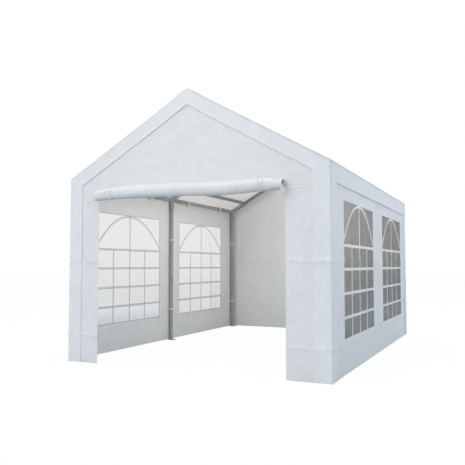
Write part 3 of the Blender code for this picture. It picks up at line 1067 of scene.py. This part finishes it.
def roll_point(x, angle, radius):
    """A point of the roll. The angle runs from its back over its top and its front to its underside."""
    size = roll_size(x)
    ripple = 1 + 0.014 * soft_noise(x + 0.05 * angle, angle, 0.22, 0.9, 151)
    away = radius * size * ripple * (1 + ROLL_BULGE * bump_at(angle - ROLL_BULGE_AT, 0.55))
    y = np.minimum(ROLL_BACK_Y - ROLL_OUT * size + away * np.cos(angle), ROLL_BACK_Y)
    return y, ROLL_Z - roll_sag(x) + away * np.sin(angle)


def roll_start(x):
    """Where the sheet leaves the roll: at its top, and nearer the gable at the right end."""
    return ROLL_START + (END_START - ROLL_START) * smooth((x - ROLL_RIGHT + 0.16) / 0.14)


def roll_rise(x, share, lift=0.0):
    """A point of the sheet between the roll's top, at share 0, and the gable that it hangs from."""
    start = roll_start(x)
    y, z = roll_point(x, start, ROLL_OUT + lift)
    back_y = ROLL_BACK_Y - lift
    corner_z = z - (back_y - y) / np.tan(start)
    rest = 1 - share
    reach = rest ** 2 * y + (1 - rest ** 2) * back_y
    return reach, rest ** 2 * z + 2 * share * rest * corner_z + share ** 2 * (corner_z + 0.008)


def roll_skin(x, turn):
    """A point just outside the roll: below 0 the turn counts shares of the rise, above it the angle round."""
    round_y, round_z = roll_point(x, roll_start(x) + np.clip(turn, 0, None), ROLL_OUT + STRAP_LIFT)
    rise_y, rise_z = roll_rise(x, np.clip(-turn, 0, 1), STRAP_LIFT)
    return stacked(x, np.where(turn > 0, round_y, rise_y), np.where(turn > 0, round_z, rise_z))


class TENT_OT_rolled_door(bpy.types.Operator):
    """Build the doorway's sheet, rolled up under the gable, with its ties"""

    bl_idname = "tent.rolled_door"
    bl_label = "Rolled Door"

    def execute(self, context):
        pitch = ROLL_PITCH / math.tau
        wound = ROLL_CORE * WHOLE_TURN + pitch * WHOLE_TURN ** 2 / 2
        lengths = edge_lines(0.0, wound, ROLL_STEP_ROUND)
        lengths += edge_lines(wound, wound + ROLL_RISE, ROLL_STEP_RISE)[1:]
        columns = edge_lines(ROLL_LEFT, ROLL_RIGHT, ROLL_STEP_ALONG,
                             (*TIE_X.values(), ROLL_LEFT + 0.012, ROLL_RIGHT - 0.012))
        door = cut_sheet("door_roll", columns, lengths)

        def turn_at(v):
            return (np.sqrt(ROLL_CORE ** 2 + 2 * pitch * np.minimum(v, wound)) - ROLL_CORE) / pitch

        def place(u, v):
            turned = turn_at(v)
            y, z = roll_point(u, roll_start(u) + WHOLE_TURN - turned, ROLL_CORE + pitch * turned)
            rise_y, rise_z = roll_rise(u, np.clip((v - wound) / ROLL_RISE, 0, 1))
            recess = ROLL_HOLLOW * smooth(1.25 - turned / WHOLE_TURN * 1.25)
            recess = recess * smooth((u - ROLL_RIGHT + 0.12) / 0.12)
            return stacked(u - recess, np.where(v > wound, rise_y, y), np.where(v > wound, rise_z, z))

        # Painted shade: the roll's outer turn is drawn darker on its underside.
        angle = ROLL_START + WHOLE_TURN - turn_at(points_of(door)[:, 1])
        mark(door, "creased", UNDERSIDE_SHADE * smooth((angle - UNDERSIDE) / 0.75) * (angle < math.tau))
        hang(door, place)
        outward(door, (0, 0, 1))
        thicken(door, cloth_settings().thickness)
        door = join([door, self.make_tongue()], "door_roll")
        finish(door, "coated_door_cloth")
        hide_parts("rolled_door")
        for side, x in TIE_X.items():
            self.make_tie(side, x)
        return {"FINISHED"}

    def make_tongue(self):
        """The narrow end of the door's hem, which hangs out of the roll's right end."""
        tongue = cut_sheet("roll_tongue", edge_lines(0.0, TONGUE_WIDTH, 0.003),
                           edge_lines(0.0, TONGUE_LENGTH, 0.006))

        def place(u, v):
            spread = u * (0.55 + 7.0 * v)
            pleat = 0.005 * np.sin(u * math.tau / 0.024)
            y = ROLL_Y - 0.040 + 0.7 * spread + pleat
            return stacked(ROLL_RIGHT - 0.009 + spread, y, ROLL_Z - 0.018 - v)

        hang(tongue, place)
        thicken(tongue, cloth_settings().thickness)
        return tongue

    def make_tie(self, side, x):
        """A webbing strap from the gable round the roll, its knot, and two string ends over the front."""
        turns = list(np.linspace(-1.0, 0.0, 11)) + list(np.linspace(0.0, math.radians(220), 45))[1:]
        columns = [x + share * STRAP_WIDTH for share in (-0.5, -0.25, 0.0, 0.25, 0.5)]
        strap = cut_sheet(f"roll_strap_{side}", columns, turns)
        hang(strap, roll_skin)
        thicken(strap, STRAP_THICKNESS)
        knot_x, knot_angle = KNOTS[side]
        knot_y, knot_z = roll_point(np.array([knot_x]), np.radians([knot_angle]), ROLL_OUT + 0.007)
        knot = added(bpy.ops.mesh.primitive_torus_add, major_segments=24, minor_segments=10,
                     major_radius=0.007, minor_radius=0.0038, rotation=(0.5, 1.1, 0.3),
                     location=(knot_x, knot_y[0], knot_z[0]))
        finish(join([strap, knot], f"roll_tie_{side}"), "tie_webbing")
        for number, way in enumerate(STRINGS[side]):
            shares = np.linspace(0, 1, 22)
            along = np.linspace(0, 1, len(way))
            here, degrees, drop = [np.interp(shares, along, stops) for stops in zip(*way)]
            y, z = roll_point(here, np.radians(degrees), ROLL_OUT + 0.005 + 0.003 * number)
            points = [Vector(place) for place in zip(here, y, z - drop)]
            self.make_string(f"roll_string_{side}_{number}", points)

    def make_string(self, name, points):
        """A limp string end through the points."""
        curve = bpy.data.curves.new(name, "CURVE")
        curve.dimensions = "3D"
        curve.bevel_depth = STRING_RADIUS
        curve.bevel_resolution = 3
        curve.use_fill_caps = True
        spline = curve.splines.new("POLY")
        spline.points.add(len(points) - 1)
        for point, place in zip(spline.points, points):
            point.co = (*place, 1.0)
        string = bpy.data.objects.new(name, curve)
        bpy.context.collection.objects.link(string)
        curve.materials.append(finish_named("tie_string"))
        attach(string, "root")


# The steel frame

CLAMP_GAP = 0.0016
CLAMP_WALL = 0.0024
CLAMP_LENGTH = 0.046
SCREW_OUT = 0.0285
RAIL_REACH = 0.37
RAFTER_REACH = 0.21
POST_REACH = 0.095

# A screw's washer, head and end, each with how far its middle stands out
SCREW_PARTS = (
    (0.001, {"vertices": 20, "radius": 0.011, "depth": 0.003}),
    (0.006, {"vertices": 6, "radius": 0.0085, "depth": 0.009}),
    (0.012, {"vertices": 12, "radius": 0.004, "depth": 0.006}),
)


def added(adder, way=None, stretch=(1.0, 1.0, 1.0), **sizes):
    """Add a primitive with an operator, its Z along a way if one is given, with its place in its mesh."""
    bpy.ops.object.select_all(action="DESELECT")
    adder(**sizes)
    part = bpy.context.object
    part.scale = stretch
    if way is not None:
        turn = way.to_track_quat("Z", "Y").to_matrix().to_4x4()
        part.matrix_world = Matrix.Translation(part.location) @ turn
    bpy.ops.object.transform_apply(location=True, rotation=True, scale=True)
    return part


def dressed_copy(node, bevel_width=None):
    """A copy of a CAD node's mesh, with its corners joined so that it can be smoothed."""
    name = f"steel_{node}"
    copy = bpy.data.objects.new(name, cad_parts[node].data.copy())
    bpy.context.collection.objects.link(copy)
    merge_and(copy, 0.00002, bpy.ops.mesh.dissolve_limited, angle_limit=math.radians(0.5))
    if bevel_width:
        bevel(copy, bevel_width, 2, 40)
    return copy


def finish_steel(parts, node, material_name):
    """Join the parts of a dressed node, and let them stand for it."""
    piece = join(parts, f"steel_{node}")
    finish(piece, material_name)
    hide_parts(node)


def up_slope(sign):
    """The way up the roof on one side."""
    return Vector((-sign * SLOPE_COS, 0, SLOPE * SLOPE_COS))


def under_slope(sign):
    """The way straight out of the roof's underside on one side."""
    return Vector((-sign * SLOPE * SLOPE_COS, 0, -SLOPE_COS))


def screw(place, way):
    """A screw with a six-sided head and a washer, standing on a tube at a place."""
    way = way.normalized()
    return [added(bpy.ops.mesh.primitive_cylinder_add, way, location=place + way * out, **sizes)
            for out, sizes in SCREW_PARTS]


class TENT_OT_frame(bpy.types.Operator):
    """Dress the steel frame: posts with welded plates, rails, rafters and purlins with their clamps"""

    bl_idname = "tent.frame"
    bl_label = "Steel Frame"

    def execute(self, context):
        for node in sorted(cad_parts):
            if node.startswith(("eave_rail", "ridge_tube", "purlin", "rafter")):
                # The tubes under the roof take a darker copy of the galvanised finish, as painted shade.
                material = "galvanised_tube" if node.startswith("eave_rail") else "galvanised_roof_tube"
                finish_steel([dressed_copy(node, 0.0012)], node, material)
        for make, kind in ((self.make_post, "post"), (self.make_clamp, "purlin_clamp")):
            for side, sign in SIDES.items():
                for name, y in FRAME_Y.items():
                    make(f"{kind}_{side}_{name}", sign, y)
        return {"FINISHED"}

    def make_post(self, node, sign, y):
        """A post with a weld bead round its foot and the raised rings of two anchor holes on its plate."""
        ring = bpy.ops.mesh.primitive_torus_add
        bead = added(ring, location=(sign * POST_X, y, 0.0065), major_segments=32, minor_segments=8,
                     major_radius=TUBE_RADIUS + 0.001, minor_radius=0.0035)
        low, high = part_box(node)
        plate_x = low.x + 0.045 if high.x - low.x > 0.08 else sign * POST_X
        rings = [added(ring, location=(plate_x - sign * 0.030, y + shift, 0.0055), major_segments=20,
                       minor_segments=6, major_radius=0.006, minor_radius=0.0014)
                 for shift in (-0.032, 0.032)]
        finish_steel([dressed_copy(node, 0.0015), bead, *rings], node, "galvanised_tube")

    def make_clamp(self, name, sign, y):
        """A band with a screw that holds a purlin's end to its rafter."""
        place = Vector((sign * PURLIN_X, y, EAVE_JOINT_Z + SLOPE * (POST_X - PURLIN_X)))
        band = added(bpy.ops.mesh.primitive_cylinder_add, up_slope(sign), location=place, vertices=32,
                     radius=TUBE_RADIUS + CLAMP_GAP, depth=CLAMP_LENGTH, end_fill_type="NOTHING")
        thicken(band, CLAMP_WALL)
        below = under_slope(sign)
        foot = place + below * (TUBE_RADIUS + CLAMP_GAP + CLAMP_WALL / 2)
        finish(join([band] + screw(foot, below), name), "galvanised_fitting")


class TENT_OT_fittings(bpy.types.Operator):
    """Dress the eave and ridge fittings, with a screw near the end of each sleeve"""

    bl_idname = "tent.fittings"
    bl_label = "Sleeve Fittings"

    def execute(self, context):
        down = Vector((0, 0, -1))
        for name, y in FRAME_Y.items():
            ways = [Vector((0, way, 0)) for way, skip in ((-1, "front"), (1, "back")) if name != skip]
            arms = [(way, RAIL_REACH, down) for way in ways]
            arms += [(-up_slope(sign), RAFTER_REACH, under_slope(sign)) for sign in SIDES.values()]
            self.make_fitting(f"ridge_fitting_{name}", Vector((0, y, RIDGE_JOINT_Z)), arms)
            for side, sign in SIDES.items():
                inward = Vector((-sign, 0, 0))
                arms = [(way, RAIL_REACH, inward) for way in ways]
                arms += [(up_slope(sign), RAFTER_REACH, under_slope(sign)), (down, POST_REACH, inward)]
                joint = Vector((sign * POST_X, y, EAVE_JOINT_Z))
                self.make_fitting(f"eave_fitting_{side}_{name}", joint, arms)
        return {"FINISHED"}

    def make_fitting(self, node, joint, arms):
        """A fitting with a screw on each arm, given as its way, its reach and the side the screw faces."""
        parts = [dressed_copy(node)]
        for way, reach, facing in arms:
            parts += screw(joint + way * reach + facing * SCREW_OUT, facing)
        finish_steel(parts, node, "galvanised_fitting")


STRAND_RADIUS = 0.0048
STRAND_APART = 0.0049
RAIL_LOOP_SHIFTS = (-1.55, -0.546, 0.459, 1.508)
POST_LOOP_HEIGHTS = (0.435, 1.41)


class TENT_OT_elastic_loops(bpy.types.Operator):
    """Tie the walls to the rails and posts with white elastic loops"""

    bl_idname = "tent.elastic_loops"
    bl_label = "Elastic Loops"

    def execute(self, context):
        for side, sign in SIDES.items():
            middle_x = sign * (POST_X + 0.001)
            for number, shift in enumerate(RAIL_LOOP_SHIFTS):
                y = MIDDLE_Y + shift
                self.make_loop(f"elastic_rail_{side}_{number}", (middle_x, y, EAVE_JOINT_Z - 0.008),
                               (0, STRAND_APART, 0), (math.pi / 2, 0, 0.10), TUBE_RADIUS + 0.0058, 1.45,
                               (sign * (POST_X - 0.033), y + 0.006, EAVE_JOINT_Z - 0.034))
            for name, y in FRAME_Y.items():
                for height in POST_LOOP_HEIGHTS:
                    place = (middle_x, y, height)
                    self.make_loop(f"elastic_post_{side}_{name}_{round(height * 1000)}", place,
                                   (0, 0, STRAND_APART), (0.09, 0, 0), TUBE_RADIUS + 0.0054, 1.0,
                                   (sign * (POST_X - 0.034), y + 0.004, height - 0.004))
        return {"FINISHED"}

    def make_loop(self, name, centre, half_apart, turn, radius, stretch, ball_place):
        """A loop's two strands, pressed flat by the cover and walls, and the ball that locks them."""
        strands = []
        for step in (-Vector(half_apart), Vector(half_apart)):
            strands.append(added(bpy.ops.mesh.primitive_torus_add, stretch=(1.0, stretch, 1.0),
                                 major_segments=36, minor_segments=10, major_radius=radius,
                                 minor_radius=STRAND_RADIUS, location=Vector(centre) + step,
                                 rotation=turn))
        loop = join(strands, "loop")
        places = points_of(loop)
        reach = POST_X + TUBE_RADIUS + 0.002
        places[:, 0] = np.clip(places[:, 0], -reach, reach)
        places[:, 2] = np.minimum(places[:, 2], roof_height(places[:, 0]) - 0.004)
        set_points(loop, places)
        ball = added(bpy.ops.mesh.primitive_uv_sphere_add, stretch=(1.0, 1.0, 0.9), segments=20,
                     ring_count=12, radius=0.011, location=ball_place)
        finish(join([loop, ball], name), "braided_elastic")


# The studio

def floor_shader(tree):
    """A pale floor shown almost white, but in its own light near the tent where film is in front of it."""
    matt = add_node(tree, "BsdfDiffuse", {"Color": toned(linear("#BDC8D0"))})
    glow = add_node(tree, "Emission", {"Color": toned(linear("#FFFFFF")), "Strength": 1.02})
    place = add_node(tree, "TexCoord", output="Object")
    distance = add_node(tree, "VectorMath", {0: place}, "Value", operation="LENGTH")
    around = add_node(tree, "MapRange", {"Value": distance, "From Min": 1.5, "From Max": 6.5,
                                         "To Max": 0.95})
    beyond = add_node(tree, "MapRange", {"Value": distance, "From Min": 13.0, "From Max": 30.0,
                                         "To Max": 0.05})
    far = add_node(tree, "Math", {0: around, 1: beyond}, operation="ADD")
    passes = add_node(tree, "LightPath", output="Transparent Depth")
    clear = add_node(tree, "Math", {0: passes, 1: 0.5}, operation="LESS_THAN")
    white = add_node(tree, "Math", {0: far, 1: clear}, operation="MAXIMUM")
    shown = add_node(tree, "Math", {0: white, 1: 0.94}, operation="MULTIPLY")
    share = add_node(tree, "Math", {0: add_node(tree, "LightPath"), 1: shown}, operation="MULTIPLY")
    return add_node(tree, "MixShader", {0: share, 1: matt, 2: glow})


class TENT_OT_stage(bpy.types.Operator):
    """Set the pale floor, the soft light and the camera"""

    bl_idname = "tent.stage"
    bl_label = "Stage"

    def execute(self, context):
        studio = context.scene.tent_studio
        bpy.ops.object.select_all(action="DESELECT")
        bpy.ops.mesh.primitive_plane_add(size=120, location=(0, 0, -0.0005))
        floor = bpy.context.object
        floor.name = floor.data.name = "floor"
        floor.data.materials.append(new_material("pale_floor", floor_shader))
        self.make_sky(studio.sky)
        low_middle = (0.0, 0.0, 1.2)
        self.add_light("front_light", studio.front, (10.0, 5.0), (0.6, -20.0, 3.0), low_middle, "#FFF8EA")
        self.add_light("key_light", studio.key, (7.0, 7.0), (-5.5, -13.0, 10.5), low_middle, "#FFF8EA")
        self.add_light("top_light", studio.fill, (7.0, 7.0), (0.5, -1.0, 7.0), (0.0, 0.0, 1.0))
        self.add_light("side_light", studio.side, (3.0, 3.0), (5.5, 6.5, 3.0), (1.48, 2.0, 1.0))
        self.add_light("back_light", studio.back, (5.0, 4.0), (-0.5, 8.0, 6.0), (0.0, 2.1, 1.6))
        for name, y in (("inside_front_light", -0.9), ("inside_back_light", 0.65)):
            lamp = self.add_lamp(name, "POINT", studio.inside, (0.15, y, 1.62), "#FFF5E9")
            lamp.data.shadow_soft_size = 0.45
            lamp.visible_glossy = False
        lens = bpy.data.cameras.new("camera")
        lens.lens = studio.lens
        lens.sensor_width = 36.0
        camera = bpy.data.objects.new("camera", lens)
        context.scene.collection.objects.link(camera)
        camera.location = studio.camera_place
        camera.rotation_euler = (math.pi / 2 + studio.camera_pitch, 0, studio.camera_yaw)
        context.scene.camera = camera
        context.scene.view_settings.view_transform = "Standard"
        return {"FINISHED"}

    def make_sky(self, strength):
        """A soft, slightly cool light, strongest from the sides, in front of a white backdrop."""
        world = bpy.data.worlds.new("studio")
        bpy.context.scene.world = world
        world.use_nodes = True
        tree = world.node_tree
        tree.nodes.clear()
        way = add_node(tree, "TexCoord", output="Generated")
        dimmed = 1.0
        for axis, share in (("Y", 0.38), ("Z", 0.30)):
            part = add_node(tree, "SeparateXYZ", {"Vector": way}, axis)
            squared = add_node(tree, "Math", {0: part, 1: part}, operation="MULTIPLY")
            dimmed = add_node(tree, "Math", {0: squared, 1: -share, 2: dimmed}, operation="MULTIPLY_ADD")
        bright = add_node(tree, "MapRange", {"Value": dimmed, "To Max": strength})
        light = add_node(tree, "Background", {"Color": toned(linear("#ECF3FC")), "Strength": bright})
        backdrop = add_node(tree, "Background", {"Color": toned(linear("#FFFFFF")), "Strength": 1.0})
        shown = add_node(tree, "MixShader", {0: add_node(tree, "LightPath"), 1: light, 2: backdrop})
        add_node(tree, "OutputWorld", {"Surface": shown})

    def add_lamp(self, name, kind, watts, place, colour):
        """A lamp that the camera doesn't see."""
        light = bpy.data.lights.new(name, kind)
        light.energy = watts
        light.color = linear(colour)
        lamp = bpy.data.objects.new(name, light)
        bpy.context.scene.collection.objects.link(lamp)
        lamp.location = place
        lamp.visible_camera = False
        return lamp

    def add_light(self, name, watts, size, place, target, colour="#FFFFFF"):
        """A large soft rectangular light that faces a target."""
        lamp = self.add_lamp(name, "AREA", watts, place, colour)
        lamp.data.shape = "RECTANGLE"
        lamp.data.size, lamp.data.size_y = size
        lamp.rotation_euler = (Vector(target) - Vector(place)).to_track_quat("-Z", "Y").to_euler()


class TENT_PT_panel(bpy.types.Panel):
    """Settings and buttons of the marquee tent"""

    bl_label = "Marquee Tent"
    bl_idname = "TENT_PT_panel"
    bl_space_type = "VIEW_3D"
    bl_region_type = "UI"
    bl_category = "Tent"

    def draw(self, context):
        for name in SETTINGS:
            group = getattr(context.scene, name)
            box = self.layout.box()
            for setting in group.__annotations__:
                box.prop(group, setting)
        for operator in BUILD_ORDER:
            self.layout.operator(operator.bl_idname)


SETTINGS = {"tent_cloth": TentClothSettings, "tent_colours": TentColours, "tent_studio": TentStudioSettings}
BUILD_ORDER = (TENT_OT_stage, TENT_OT_cover, TENT_OT_front_wall, TENT_OT_back_wall, TENT_OT_side_walls,
               TENT_OT_windows, TENT_OT_rolled_door, TENT_OT_frame, TENT_OT_fittings, TENT_OT_elastic_loops)
CLASSES = (*SETTINGS.values(), *BUILD_ORDER, TENT_PT_panel)


def register():
    for each in CLASSES:
        bpy.utils.register_class(each)
    for name, group in SETTINGS.items():
        setattr(bpy.types.Scene, name, PointerProperty(type=group))


def unregister():
    for name in SETTINGS:
        delattr(bpy.types.Scene, name)
    for each in reversed(CLASSES):
        bpy.utils.unregister_class(each)


def main():
    register()
    for operator in BUILD_ORDER:
        family, name = operator.bl_idname.split(".")
        getattr(getattr(bpy.ops, family), name)()


if __name__ == "__main__":
    main()
